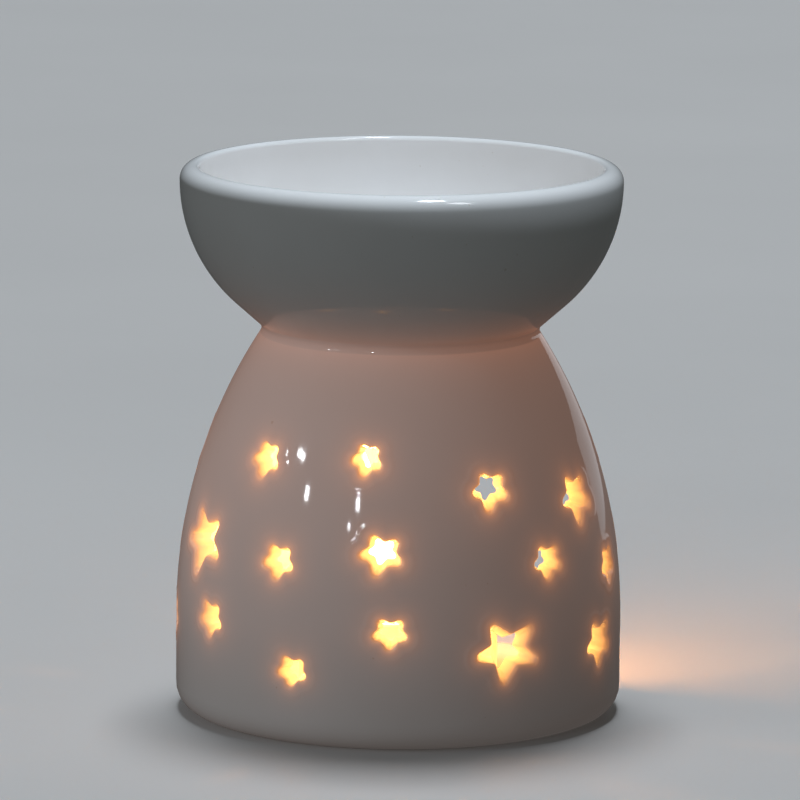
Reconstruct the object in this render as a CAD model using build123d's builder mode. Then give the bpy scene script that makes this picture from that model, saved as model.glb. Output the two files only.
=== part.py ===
from build123d import *
from math import asin, cos, degrees, radians, sin, sqrt, tan
import os

# Tealight holder: a hollow bell-shaped ceramic lantern with a shallow dish luted on its neck,
# and the tealight that burns inside it.
# Origin: centre of the base, on the table. +Z up. The doorway faces +Y, so the front faces -Y.
# Millimetres throughout.

# ---- Driving dimensions: the whole piece ----
OVERALL_HEIGHT = 105.0
WALL = 3.4                      # cast ceramic wall
SLIP_BED = 0.7                  # slip left between the two castings
SLIP_FILLET = 1.3               # reach of the slip fillet outside the crease
SLIP_SAG_OUTSIDE = 2.1          # radius of its hollow face
SLIP_SAG_INSIDE = 3.9           # the same, and how far the slip reaches down, inside the neck

# ---- Lantern body ----
BODY_RADIUS = 42.5
FOOT_RADIUS = 37.5              # outer edge of the unglazed foot ring
FOOT_WIDTH = 4.0
FOOT_RECESS = 1.6               # how far the underside is hollowed
FLOOR_HEIGHT = 5.0              # chamber floor above the table
FLOOR_CORNER = 4.0              # inside radius between floor and wall
SHOULDER_HEIGHT = 19.0          # the wall is straight below this and curves in above it
NECK_RADIUS = 26.0              # the crease between body and dish
NECK_HEIGHT = 74.0

# ---- Doorway at the back ----
DOOR_WIDTH = 46.0
DOOR_HEIGHT = 46.0              # from the chamber floor to the crown of the arch

# ---- Dish ----
DISH_RADIUS = 42.15
DISH_SLOPE = 41.5               # degrees, the straight flank above the neck
DISH_HEEL = 14.0                # radius from the flat underside to the flank
DISH_WALL = 3.7
DISH_FLOOR = 3.5
DISH_INSIDE_HEEL = 20.0         # softer radius inside
RIM_OUTER = 2.8                 # the lip is rounder outside than inside
RIM_INNER = DISH_WALL - RIM_OUTER

# ---- Star openings ----
STAR_TAPER = 0.62               # size at the inner wall over size at the outer wall
STAR_VALLEY = 0.66              # valley radius over point radius, for the smallest of stars
STAR_DEEPENING = 0.03           # what that share loses per millimetre of point radius
STAR_CORNER = 0.9               # rounding of points and valleys at the outer wall
SMALL_STAR = 4.1
PLUMP_STAR = 4.9
MEDIUM_STAR = 5.7
LARGE_STAR = 7.4
STAR_CUT_OUTSIDE = WALL         # a cutter runs this far outside the wall's outer face at the star's centre
STAR_CUT_INSIDE = 1.9 * WALL    # and this far inside it
# azimuth from the front towards +X in degrees, height, point radius, sideways stretch, lean in degrees,
# and how far the hand-held cutter has drifted towards +azimuth by the inner wall
STARS = [
    # upper row
    (-13.4, 53.2, SMALL_STAR + 0.2, 1.0, -8.0, -0.3),
    (20.2, 54.7, SMALL_STAR, 0.95, -10.0, 0.0),
    (56.8, 48.8, SMALL_STAR + 0.5, 1.1, -9.0, 0.7),
    (89.2, 45.2, MEDIUM_STAR, 1.1, -8.0, 0.0),
    (128.0, 52.0, SMALL_STAR, 1.0, 6.0, 0.2),
    (-66.0, 52.0, SMALL_STAR, 1.0, 5.0, 0.0),
    (-88.0, 47.5, PLUMP_STAR, 1.1, 8.0, 0.2),
    (-126.0, 53.5, SMALL_STAR, 1.0, -6.0, -0.2),
    (180.0, 60.0, SMALL_STAR, 1.0, 0.0, 0.0),
    # middle row
    (-34.5, 36.0, LARGE_STAR + 0.2, 1.2, -9.0, 0.0),
    (-3.3, 35.0, SMALL_STAR + 0.2, 1.05, -4.5, -0.3),
    (25.4, 37.7, PLUMP_STAR, 1.15, -11.0, 0.0),
    (72.9, 34.6, SMALL_STAR, 1.12, -6.5, 0.0),
    (101.9, 30.9, SMALL_STAR + 0.3, 1.0, -2.0, 0.0),
    (-68.0, 33.0, SMALL_STAR, 1.0, 7.0, 0.2),
    (-103.0, 31.0, PLUMP_STAR, 1.0, -5.0, 0.0),
    (128.0, 34.0, SMALL_STAR, 1.1, 8.0, -0.2),
    (-133.0, 36.0, SMALL_STAR, 1.0, 8.0, 0.0),
    # lower row
    (-26.9, 21.7, SMALL_STAR + 0.3, 1.12, -3.0, 0.0),
    (28.0, 22.9, SMALL_STAR - 0.2, 1.2, -2.0, 0.0),
    (59.4, 18.7, LARGE_STAR, 1.26, -8.0, 0.0),
    (2.0, 14.6, SMALL_STAR - 0.3, 1.12, -6.0, -0.2),
    (94.0, 16.8, MEDIUM_STAR - 0.2, 1.15, -4.0, 0.0),
    (-56.0, 18.5, SMALL_STAR, 1.1, 6.0, 0.0),
    (-82.0, 16.5, SMALL_STAR, 1.0, -8.0, 0.2),
    (-122.0, 18.5, LARGE_STAR, 1.1, 5.0, 0.0),
    (127.0, 17.5, SMALL_STAR, 1.1, 4.0, 0.0),
]

# ---- Tealight ----
CUP_RADIUS = 19.0
CUP_HEIGHT = 15.0
CUP_WALL = 0.3
CUP_CORNER = 1.2
CUP_BEAD = 0.45                 # radius of the rolled rim
REST_GAP = 0.05                 # running gap under and around a loose piece
WAX_CLEARANCE = 0.25
WAX_HEIGHT = 12.5
POOL_DEPTH = 0.7
POOL_RADIUS = 16.8
WICK_RADIUS = 0.8
WICK_ABOVE_POOL = 8.0
WICK_UPRIGHT = 2.7              # the part above the pool that stands straight
WICK_BEND = 1.8                 # how far the burnt tip leans over
WICK_AZIMUTH = -60.0            # where it leans to, from the front towards +X
TAB_RADIUS = 6.5
TAB_THICKNESS = 0.3
COLLAR_HEIGHT = 3.0
COLLAR_WALL = 0.3

# ---- Worked out from the above ----
slope = radians(DISH_SLOPE)
shoulder_rise = NECK_HEIGHT - SHOULDER_HEIGHT
shoulder_inset = BODY_RADIUS - NECK_RADIUS
shoulder_radius = (shoulder_rise**2 + shoulder_inset**2) / (2 * shoulder_inset)
shoulder_axis = BODY_RADIUS - shoulder_radius
shoulder_turn = degrees(asin(shoulder_rise / shoulder_radius))
base_edge = BODY_RADIUS - FOOT_RADIUS

# The dish flank leaves the neck straight, then curves up to vertical at the rim.
# Its length and the curve's radius follow from the two ends.
flank_run = DISH_RADIUS - NECK_RADIUS
flank_rise = OVERALL_HEIGHT - RIM_OUTER - NECK_HEIGHT
dish_curve = (flank_rise - flank_run * tan(slope)) / (cos(slope) - (1 - sin(slope)) * tan(slope))
flank_length = (flank_run - dish_curve * (1 - sin(slope))) / cos(slope)
dish_bottom = NECK_HEIGHT - DISH_HEEL * (1 - cos(slope))
dish_flat = NECK_RADIUS - DISH_HEEL * sin(slope)


def outer_radius(height):
    """Radius of the body's outside at a height between the base edge and the neck."""
    rise = max(0.0, height - SHOULDER_HEIGHT)
    return shoulder_axis + sqrt(shoulder_radius**2 - rise**2)


def star_corners(point_radius, stretch, lean):
    """The ten corners of a five-pointed star that stands on one point."""
    corners = []
    valley_radius = point_radius * (STAR_VALLEY - STAR_DEEPENING * point_radius)
    for step in range(10):
        reach = point_radius if step % 2 == 0 else valley_radius
        angle = radians(-90 + lean + 36 * step)
        corners.append((stretch * reach * cos(angle), reach * sin(angle)))
    return corners


def radial_plane(azimuth, height, distance):
    """A vertical plane facing outwards, at a distance from the axis."""
    turn = radians(azimuth)
    outwards = Vector(sin(turn), -cos(turn), 0)
    along = Vector(cos(turn), sin(turn), 0)
    return Plane(origin=outwards * distance + Vector(0, 0, height), x_dir=along, z_dir=outwards)


# ---- Profiles, in the (radius, height) plane ----
with BuildSketch() as dish_profile:
    with BuildLine():
        underside = Line((0, dish_bottom), (dish_flat, dish_bottom))
        heel = JernArc(underside @ 1, underside % 1, DISH_HEEL, DISH_SLOPE)
        flank = PolarLine(heel @ 1, flank_length, direction=heel % 1)
        side = JernArc(flank @ 1, flank % 1, dish_curve, 90 - DISH_SLOPE)
        lip_outside = JernArc(side @ 1, side % 1, RIM_OUTER, 90)
        lip_inside = JernArc(lip_outside @ 1, lip_outside % 1, RIM_INNER, 90)
        lip_drop = Line(lip_inside @ 1, ((lip_inside @ 1).X, (side @ 1).Y))
        inner_side = JernArc(lip_drop @ 1, (0, -1), dish_curve - DISH_WALL, DISH_SLOPE - 90)
        # the inside flank stops where the inside heel can still end at the dish floor
        heel_drop = DISH_INSIDE_HEEL * (1 - cos(slope))
        flank_drop = (inner_side @ 1).Y - heel_drop - (dish_bottom + DISH_FLOOR)
        inner_flank = PolarLine(inner_side @ 1, flank_drop / sin(slope), direction=inner_side % 1)
        inner_heel = JernArc(inner_flank @ 1, inner_flank % 1, DISH_INSIDE_HEEL, -DISH_SLOPE)
        inner_floor = Line(inner_heel @ 1, (0, (inner_heel @ 1).Y))
        Line(inner_floor @ 1, underside @ 0)
    make_face()

with BuildSketch() as dish_clearance:
    with BuildLine():
        bed_bottom = Line((0, dish_bottom - SLIP_BED), (dish_flat, dish_bottom - SLIP_BED))
        bed_heel = JernArc(bed_bottom @ 1, bed_bottom % 1, DISH_HEEL + SLIP_BED, DISH_SLOPE)
        bed_flank = PolarLine(bed_heel @ 1, flank_length, direction=bed_heel % 1)
        Line(bed_flank @ 1, (0, (bed_flank @ 1).Y))
        Line((0, (bed_flank @ 1).Y), bed_bottom @ 0)
    make_face()

with BuildSketch() as body_profile:
    with BuildLine():
        foot = Line((FOOT_RADIUS - FOOT_WIDTH, 0), (FOOT_RADIUS, 0))
        base_curve = JernArc(foot @ 1, foot % 1, base_edge, 90)
        upright = Line(base_curve @ 1, (BODY_RADIUS, SHOULDER_HEIGHT))
        shoulder = JernArc(upright @ 1, upright % 1, shoulder_radius, shoulder_turn)
        top_cut = PolarLine(shoulder @ 1, WALL, direction=Vector(shoulder_axis - (shoulder @ 1).X,
                                                                 SHOULDER_HEIGHT - NECK_HEIGHT))
        inner_shoulder = JernArc(top_cut @ 1, -(shoulder % 1), shoulder_radius - WALL, -shoulder_turn)
        inner_wall = Line(inner_shoulder @ 1, (BODY_RADIUS - WALL, FLOOR_HEIGHT + FLOOR_CORNER))
        corner = JernArc(inner_wall @ 1, (0, -1), FLOOR_CORNER, -90)
        floor = Line(corner @ 1, (0, FLOOR_HEIGHT))
        axis_line = Line(floor @ 1, (0, FOOT_RECESS))
        recess = Line(axis_line @ 1, (FOOT_RADIUS - FOOT_WIDTH - FOOT_RECESS, FOOT_RECESS))
        Line(recess @ 1, foot @ 0)
    make_face()

# the body's wall, cut back under the dish to leave the slip bed
with BuildSketch() as neck_profile:
    add(body_profile.sketch_local)
    add(dish_clearance.sketch_local, mode=Mode.SUBTRACT)

with BuildSketch() as seam_profile:
    with BuildLine():
        # outside the crease: a short concave fillet from the body up to the dish flank
        body_side = (outer_radius(NECK_HEIGHT - SLIP_FILLET), NECK_HEIGHT - SLIP_FILLET)
        dish_side = (NECK_RADIUS + SLIP_FILLET * cos(slope), NECK_HEIGHT + SLIP_FILLET * sin(slope))
        outside_sag = RadiusArc(body_side, dish_side, SLIP_SAG_OUTSIDE)
        # inside the neck: the slip that squeezed through
        inside_top = (NECK_RADIUS - WALL - SLIP_FILLET, NECK_HEIGHT)
        inside_low = (outer_radius(NECK_HEIGHT - SLIP_SAG_INSIDE) - WALL, NECK_HEIGHT - SLIP_SAG_INSIDE)
        Line(dish_side, inside_top)
        Line(inside_top, (inside_top[0], dish_bottom))
        inside_sag = RadiusArc((inside_top[0], dish_bottom), inside_low, -SLIP_SAG_INSIDE)
        Line(inside_low, body_side)
    make_face()

# ---- Dish ----
with BuildPart() as oil_dish:
    with BuildSketch(Plane.XZ):
        add(dish_profile.sketch_local)
    revolve(axis=Axis.Z)
oil_dish.part.label = "oil_dish"

# ---- Slip seam: the ring of slip that lutes the dish to the neck ----
with BuildPart() as slip_seam:
    with BuildSketch(Plane.XZ):
        add(seam_profile.sketch_local)
        add(dish_profile.sketch_local, mode=Mode.SUBTRACT)
        add(neck_profile.sketch_local, mode=Mode.SUBTRACT)
    revolve(axis=Axis.Z)
slip_seam.part.label = "slip_seam"

# ---- Lantern body: hollow bell with its floor, foot ring, stars and doorway ----
with BuildPart() as lantern_body:
    with BuildSketch(Plane.XZ):
        add(neck_profile.sketch_local)
    revolve(axis=Axis.Z)

    with BuildSketch(Plane(origin=(0, 0, FLOOR_HEIGHT), x_dir=(-1, 0, 0), z_dir=(0, 1, 0))):
        with Locations((0, (DOOR_HEIGHT - DOOR_WIDTH / 2) / 2)):
            Rectangle(DOOR_WIDTH, DOOR_HEIGHT - DOOR_WIDTH / 2)
        with Locations((0, DOOR_HEIGHT - DOOR_WIDTH / 2)):
            Circle(DOOR_WIDTH / 2)
    extrude(amount=BODY_RADIUS + WALL, mode=Mode.SUBTRACT)

    for azimuth, height, point_radius, stretch, lean, drift in STARS:
        outside = outer_radius(height)
        outline = star_corners(point_radius, stretch, lean)
        for distance in (outside + STAR_CUT_OUTSIDE, outside - STAR_CUT_INSIDE):
            depth = (outside - distance) / WALL
            growth = 1 - (1 - STAR_TAPER) * depth
            corners = [(along * growth + drift * depth, up * growth) for along, up in outline]
            with BuildSketch(radial_plane(azimuth, height, distance)):
                Polygon(*corners, align=None)
                fillet(vertices(), STAR_CORNER * growth)
        loft(ruled=True, mode=Mode.SUBTRACT)
lantern_body.part.label = "lantern_body"

# ---- Tealight cup: thin pressed aluminium with a rolled rim ----
cup_bottom = FLOOR_HEIGHT + REST_GAP
with BuildPart() as tealight_cup:
    with BuildSketch(Plane.XZ):
        with BuildLine():
            cup_base = Line((0, cup_bottom), (CUP_RADIUS - CUP_CORNER, cup_bottom))
            cup_corner = JernArc(cup_base @ 1, cup_base % 1, CUP_CORNER, 90)
            cup_side = Line(cup_corner @ 1, (CUP_RADIUS, cup_bottom + CUP_HEIGHT - CUP_BEAD))
            cup_lip = Line(cup_side @ 1, (CUP_RADIUS - CUP_WALL, (cup_side @ 1).Y))
            cup_inside = Line(cup_lip @ 1, (CUP_RADIUS - CUP_WALL, (cup_corner @ 1).Y))
            inside_corner = JernArc(cup_inside @ 1, (0, -1), CUP_CORNER - CUP_WALL, -90)
            cup_floor = Line(inside_corner @ 1, (0, cup_bottom + CUP_WALL))
            Line(cup_floor @ 1, cup_base @ 0)
        make_face()
        # the rim rolls outwards, so that it leaves the bore clear for the wax
        with Locations((CUP_RADIUS - CUP_WALL + CUP_BEAD, cup_bottom + CUP_HEIGHT - CUP_BEAD)):
            Circle(CUP_BEAD)
    revolve(axis=Axis.Z)
tealight_cup.part.label = "tealight_cup"

# ---- Wick: a cord that stands in the collar, its burnt tip leaning over ----
candle_bottom = cup_bottom + CUP_WALL + REST_GAP
pool_height = candle_bottom + WAX_HEIGHT - POOL_DEPTH
wick_heading = radians(WICK_AZIMUTH)
wick_plane = Plane(origin=(0, 0, 0), x_dir=(sin(wick_heading), -cos(wick_heading), 0),
                   z_dir=(-cos(wick_heading), -sin(wick_heading), 0))
with BuildPart() as wick:
    with BuildLine(wick_plane) as cord:
        stem = Line((0, candle_bottom + TAB_THICKNESS), (0, pool_height + WICK_UPRIGHT))
        Spline((0, pool_height + WICK_UPRIGHT), (WICK_BEND, pool_height + WICK_ABOVE_POOL), tangents=[(0, 1), (0.5, 1)])
    with BuildSketch(Plane(origin=stem @ 0, z_dir=(0, 0, 1))):
        Circle(WICK_RADIUS)
    sweep(path=cord.line)
wick.part.label = "wick"

# ---- Sustainer: the steel tab under the wax, with its collar round the wick ----
with BuildPart() as wick_tab:
    with BuildSketch(Plane.XY.offset(candle_bottom)):
        Circle(TAB_RADIUS)
    extrude(amount=TAB_THICKNESS)
    with BuildSketch(Plane.XY.offset(candle_bottom + TAB_THICKNESS)):
        Circle(WICK_RADIUS + COLLAR_WALL)
        Circle(WICK_RADIUS, mode=Mode.SUBTRACT)
    extrude(amount=COLLAR_HEIGHT)
wick_tab.part.label = "wick_tab"

# ---- Wax: cast in the cup, dished where it has melted, with the wick's hole and the tab's pocket ----
wax_radius = CUP_RADIUS - CUP_WALL - WAX_CLEARANCE
wax_top = candle_bottom + WAX_HEIGHT
with BuildPart() as wax:
    with BuildSketch(Plane.XZ):
        with BuildLine():
            Polyline(
                (0, candle_bottom),
                (wax_radius - CUP_CORNER, candle_bottom),
                (wax_radius, candle_bottom + CUP_CORNER),
                (wax_radius, wax_top),
                (POOL_RADIUS, wax_top),
                (POOL_RADIUS - 2 * POOL_DEPTH, pool_height),
                (0, pool_height),
                close=True,
            )
        make_face()
    revolve(axis=Axis.Z)
    with BuildSketch(Plane.XY.offset(candle_bottom)):
        Circle(TAB_RADIUS)
    extrude(amount=TAB_THICKNESS, mode=Mode.SUBTRACT)
    with BuildSketch(Plane.XY.offset(candle_bottom + TAB_THICKNESS)):
        Circle(WICK_RADIUS + COLLAR_WALL)
    extrude(amount=COLLAR_HEIGHT, mode=Mode.SUBTRACT)
    with BuildSketch(Plane.XY.offset(candle_bottom + TAB_THICKNESS + COLLAR_HEIGHT)):
        Circle(WICK_RADIUS)
    extrude(amount=WAX_HEIGHT, mode=Mode.SUBTRACT)
wax.part.label = "wax"

os.makedirs("parts", exist_ok=True)
for piece in (lantern_body, oil_dish, slip_seam, tealight_cup, wax, wick, wick_tab):
    export_step(piece.part, f"parts/{piece.part.label}.step")
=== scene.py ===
from math import acos, atan2, cos, dist, exp, pi, radians, sin, sqrt, tan

import bmesh
import bpy
import numpy as np
from numpy.linalg import norm
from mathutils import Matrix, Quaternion, Vector
from mathutils.geometry import delaunay_2d_cdt


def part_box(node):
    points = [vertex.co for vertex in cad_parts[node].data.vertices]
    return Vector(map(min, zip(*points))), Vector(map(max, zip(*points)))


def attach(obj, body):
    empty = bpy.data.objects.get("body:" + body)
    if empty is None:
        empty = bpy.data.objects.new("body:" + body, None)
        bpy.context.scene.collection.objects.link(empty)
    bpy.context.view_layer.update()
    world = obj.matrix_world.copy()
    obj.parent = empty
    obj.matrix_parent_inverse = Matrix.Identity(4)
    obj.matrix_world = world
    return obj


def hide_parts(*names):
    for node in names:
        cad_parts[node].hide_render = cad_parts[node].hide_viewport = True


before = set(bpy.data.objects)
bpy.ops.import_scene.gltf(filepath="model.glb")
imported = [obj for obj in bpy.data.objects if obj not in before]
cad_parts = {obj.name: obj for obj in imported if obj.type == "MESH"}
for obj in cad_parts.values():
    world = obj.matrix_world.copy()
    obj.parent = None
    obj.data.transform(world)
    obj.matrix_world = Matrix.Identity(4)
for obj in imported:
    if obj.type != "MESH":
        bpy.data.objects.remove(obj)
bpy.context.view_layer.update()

# Lengths are in millimetres until a mesh is made, and heights are above the table.
MM = 0.001

# ---- Sizes shared with the CAD model ----
_, body_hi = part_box("lantern_body")
dish_lo, dish_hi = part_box("oil_dish")
cup_lo, cup_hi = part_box("tealight_cup")
wax_lo, wax_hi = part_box("wax")
wick_lo, wick_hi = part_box("wick")
tab_lo, tab_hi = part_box("wick_tab")

WALL = 3.4
BODY_RADIUS = body_hi.x / MM
FOOT_RADIUS = 37.5
FOOT_WIDTH = 4.0
FOOT_RECESS = 1.6
FLOOR_HEIGHT = 5.0
FLOOR_CORNER = 4.0
SHOULDER_HEIGHT = 19.0
NECK_RADIUS = 26.0
NECK_HEIGHT = 74.0
BASE_EDGE = BODY_RADIUS - FOOT_RADIUS
shoulder_rise = NECK_HEIGHT - SHOULDER_HEIGHT
shoulder_inset = BODY_RADIUS - NECK_RADIUS
SHOULDER_RADIUS = (shoulder_rise**2 + shoulder_inset**2) / (2 * shoulder_inset)
SHOULDER_AXIS = BODY_RADIUS - SHOULDER_RADIUS
FOOT_INSIDE = FOOT_RADIUS - FOOT_WIDTH

DOOR_WIDTH = 46.0
DOOR_HEIGHT = 46.0

DISH_TOP = dish_hi.z / MM
DISH_BOTTOM = dish_lo.z / MM
DISH_RADIUS = dish_hi.x / MM
DISH_SLOPE = radians(41.5)
DISH_HEEL = 14.0
DISH_WALL = 3.7
DISH_FLOOR = 3.5
DISH_INSIDE_HEEL = 20.0
RIM_OUTER = 2.8
RIM_INNER = DISH_WALL - RIM_OUTER

STAR_TAPER = 0.62
STAR_VALLEY = 0.66
STAR_DEEPENING = 0.03
STAR_CORNER = 0.9
SMALL, PLUMP, MEDIUM, LARGE = 4.1, 4.9, 5.7, 7.4
# azimuth from the front towards +X in degrees, height, point radius, sideways stretch, lean in degrees,
# and how far the hand-held cutter has drifted towards +azimuth by the inner wall
STARS = [
    # upper row
    (-13.4, 53.2, SMALL + 0.2, 1, -8, -0.3),
    (20.2, 54.7, SMALL, 0.95, -10),
    (56.8, 48.8, SMALL + 0.5, 1.1, -9, 0.7),
    (89.2, 45.2, MEDIUM, 1.1, -8),
    (128, 52, SMALL, 1, 6, 0.2),
    (-66, 52, SMALL, 1, 5),
    (-88, 47.5, PLUMP, 1.1, 8, 0.2),
    (-126, 53.5, SMALL, 1, -6, -0.2),
    (180, 60, SMALL, 1, 0),
    # middle row
    (-34.5, 36, LARGE + 0.2, 1.2, -9),
    (-3.3, 35, SMALL + 0.2, 1.05, -4.5, -0.3),
    (25.4, 37.7, PLUMP, 1.15, -11),
    (72.9, 34.6, SMALL, 1.12, -6.5),
    (101.9, 30.9, SMALL + 0.3, 1, -2),
    (-68, 33, SMALL, 1, 7, 0.2),
    (-103, 31, PLUMP, 1, -5),
    (128, 34, SMALL, 1.1, 8, -0.2),
    (-133, 36, SMALL, 1, 8),
    # lower row
    (-26.9, 21.7, SMALL + 0.3, 1.12, -3),
    (28, 22.9, SMALL - 0.2, 1.2, -2),
    (59.4, 18.7, LARGE, 1.26, -8),
    (2, 14.6, SMALL - 0.3, 1.12, -6, -0.2),
    (94, 16.8, MEDIUM - 0.2, 1.15, -4),
    (-56, 18.5, SMALL, 1.1, 6),
    (-82, 16.5, SMALL, 1, -8, 0.2),
    (-122, 18.5, LARGE, 1.1, 5),
    (127, 17.5, SMALL, 1.1, 4),
]

# ---- Glaze and mesh fineness ----
EDGE_ROUND = 0.50  # glaze radius at the outer edge of an opening
LIP_FROM_EDGE = 2.0  # a low swollen lip runs round each opening at this distance
LIP_HEIGHT = 0.06
LIP_WIDTH = 0.40
LIP_REACH = 3.3  # where the lip has died away
CROWDING = 0.42  # share of the gap to a neighbour that a lip may take
SEAM_FILLET = 1.6
SEAM_SQUEEZE = 2.6  # how far the slip bulges into the neck
EDGE_LIT = 0.04  # share of the painted wall glow that reaches the outer edge
# rings on an opening's wall: share of the way in, and share of the painted wall glow
WALL_RINGS = ((0.0, EDGE_LIT), (0.18, 0.6), (0.4, 1.0), (0.7, 1.0))
FLOOR_RINGS = (28, 16, 6)  # radii of the mesh rings on the chamber floor
# the foot ring's flat, its softened inner edge and the recess within, as (radius, height)
FOOT_PROFILE = [(FOOT_RADIUS - 0.6, 0), (FOOT_INSIDE + 0.3, 0), (FOOT_INSIDE, 0.12),
                (FOOT_INSIDE - 0.3, 0.4), (FOOT_INSIDE - FOOT_RECESS, FOOT_RECESS - 0.1),
                (FOOT_INSIDE - FOOT_RECESS - 0.5, FOOT_RECESS), (14, FOOT_RECESS)]
BARE_RINGS = 3  # the rings of it that are unglazed
GRID = 1.6  # spacing of the body's free mesh points
ROW_GAP = 0.87  # distance between their rows, as a share of the spacing
CLEAR_GAP = 0.6  # the least gap to an opening's edge, as a share of the spacing
AROUND = 180  # points around a full circle of the body
LATHE_STEPS = 240  # points around a turned piece
SILL_POINTS, JAMB_POINTS, CROWN_POINTS = 34, 15, 61
TABLE_RUN = 90  # longer than either skin's profile
CUT_ROUNDS = 16  # passes that settle where an opening meets a skin
HALVINGS = 24  # passes that settle a ring's distance
RING_SEARCH = 4 * LIP_REACH + 2  # how far out the rings are looked for
CREASE_ANGLE = 38  # degrees at which the body's shading breaks
NEAR_ANGLE = 12  # degrees within which a normal is taken from the true surface


# ---- Mesh helpers ----

def make_object(name, points, faces, material):
    """A mesh object in metres from points in millimetres, smooth, with one material."""
    mesh = bpy.data.meshes.new(name)
    mesh.from_pydata((np.asarray(points, float) * MM).tolist(), [], faces)
    mesh.validate()
    mesh.update()
    thing = bpy.data.objects.new(name, mesh)
    bpy.context.scene.collection.objects.link(thing)
    mesh.shade_smooth()
    mesh.materials.append(material)
    return thing


def add_points(points, fresh):
    """Adds points to a list and returns their places in it."""
    start = len(points)
    points.extend(fresh)
    return list(range(start, len(points)))


def band(first, second):
    """Four-sided faces between two closed rings of vertices."""
    count = len(first)
    return [[first[i], first[(i + 1) % count], second[(i + 1) % count], second[i]] for i in range(count)]


def arc(centre, radius, start, end, steps):
    """Points on an arc in the (radius, height) plane, angles in radians from the radius axis."""
    angles = np.linspace(start, end, steps + 1)
    return [(centre[0] + radius * cos(a), centre[1] + radius * sin(a)) for a in angles]


def around(radius, turn, height):
    """Position at an azimuth measured from the front (-Y) towards +X."""
    radius, turn, height = np.broadcast_arrays(radius, turn, height)
    return np.stack([radius * np.sin(turn), -radius * np.cos(turn), height], axis=-1)


def lathe(name, profile, material, steps=LATHE_STEPS, shape=None, sharp=35.0):
    """Turns a closed (radius, height) outline about Z. A shape function may change a ring's radius."""
    cleaned = [profile[0]]
    for point in profile[1:]:
        if dist(point, cleaned[-1]) > 1e-4:
            cleaned.append(point)
    if dist(cleaned[0], cleaned[-1]) < 1e-4:
        cleaned.pop()
    turns = np.arange(steps) * 2 * pi / steps
    points, rows = [], []
    for radius, height in cleaned:
        if radius < 1e-6:
            rows.append([len(points)] * steps)
            points.append((0.0, 0.0, height))
            continue
        ring = np.full(steps, float(radius))
        if shape:
            ring = shape(ring, turns, height)
        rows.append(add_points(points, around(ring, turns, height).tolist()))
    faces = []
    for low, high in zip(rows, rows[1:] + rows[:1]):
        if low[0] == low[1] and high[0] == high[1]:
            continue
        for i in range(steps):
            j = (i + 1) % steps
            face = [low[i], low[j], high[j], high[i]]
            faces.append([p for n, p in enumerate(face) if p != face[n - 1]])
    thing = make_object(name, points, faces, material)
    thing.data.set_sharp_from_angle(angle=radians(sharp))
    return thing


# ---- The body's two skins, unrolled ----

class Skin:
    """One side of the body's wall: a bend at the bottom, a straight stretch, then the shoulder arc.
    A place on it is (turn, run): azimuth, and length along the profile from its lowest point."""

    def __init__(self, start_radius, start_height, bend, straight, shoulder, side):
        self.start_radius, self.start_height = start_radius, start_height
        self.bend, self.straight, self.shoulder, self.side = bend, straight, shoulder, side
        self.bend_run = bend * pi / 2
        self.shoulder_run = self.bend_run + straight
        steps = np.linspace(0, TABLE_RUN, 20 * TABLE_RUN + 1)
        gaps = 1 / self.profile(steps)[0]
        rise = np.concatenate([[0], np.cumsum((gaps[1:] + gaps[:-1]) / 2 * np.diff(steps))])
        self.table = steps, rise

    def profile(self, run):
        """Radius and height, and the outward normal's radial and upward parts."""
        run = np.asarray(run, float)
        bend = np.clip(run / self.bend, 0, pi / 2)
        arch = np.clip((run - self.shoulder_run) / self.shoulder, 0, None)
        radius = self.start_radius + self.bend * np.sin(bend) - self.shoulder * (1 - np.cos(arch))
        height = self.start_height + self.bend * (1 - np.cos(bend)) + self.shoulder * np.sin(arch)
        height = height + np.clip(run - self.bend_run, 0, self.straight)
        normal_radius = self.side * np.sin(bend) * np.cos(arch)
        normal_height = self.side * (np.sin(arch) - np.cos(bend))
        return radius, height, normal_radius, normal_height

    def run_at(self, height):
        rise = np.asarray(height, float) - self.start_height
        low = self.bend * np.arccos(np.clip(1 - rise / self.bend, 0, 1))
        middle = np.clip(rise - self.bend, 0, self.straight)
        high = np.clip((rise - self.bend - self.straight) / self.shoulder, 0, 1)
        return low + middle + self.shoulder * np.arcsin(high)

    def radius_at(self, height):
        return self.profile(self.run_at(height))[0]

    def points(self, turn, run):
        radius, height, _, _ = self.profile(run)
        return around(radius, turn, height)

    def normals(self, turn, run):
        _, _, out, up = self.profile(run)
        return around(out, turn, up)

    def flat(self, turn, run):
        """A plane map of the skin that keeps angles, so that plane triangles stay well shaped."""
        reach = np.exp(np.interp(run, *self.table))
        return np.stack([reach * np.cos(turn), reach * np.sin(turn)], axis=-1)


def rounded_outline(corners, radius, arc_steps, side_points):
    """A closed outline through corners, each rounded, with points spread along its straight sides."""
    corners = np.asarray(corners, float)
    outline, ends, count = [], [], len(corners)
    for i in range(count):
        here, before, after = corners[i], corners[i - 1], corners[(i + 1) % count]
        back, ahead = before - here, after - here
        back, ahead = back / norm(back), ahead / norm(ahead)
        if radius == 0:
            ends.append(np.array([here]))
            continue
        half = acos(float(np.clip(back @ ahead, -1, 1))) / 2
        tangent = radius / tan(half)
        middle = (back + ahead) / norm(back + ahead)
        centre = here + middle * radius / sin(half)
        start, end = here + back * tangent - centre, here + ahead * tangent - centre
        sweep = atan2(start[0] * end[1] - start[1] * end[0], start @ end)
        angles = np.linspace(0, sweep, arc_steps + 1)
        sideways = np.array([-start[1], start[0]])
        ends.append(centre + np.outer(np.cos(angles), start) + np.outer(np.sin(angles), sideways))
    for i in range(count):
        outline.extend(ends[i])
        start, end = ends[i][-1], ends[(i + 1) % count][0]
        spread = side_points if np.isscalar(side_points) else side_points[i]
        for share in np.arange(1, spread + 1) / (spread + 1):
            outline.append(start + (end - start) * share)
    return np.array(outline)


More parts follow.
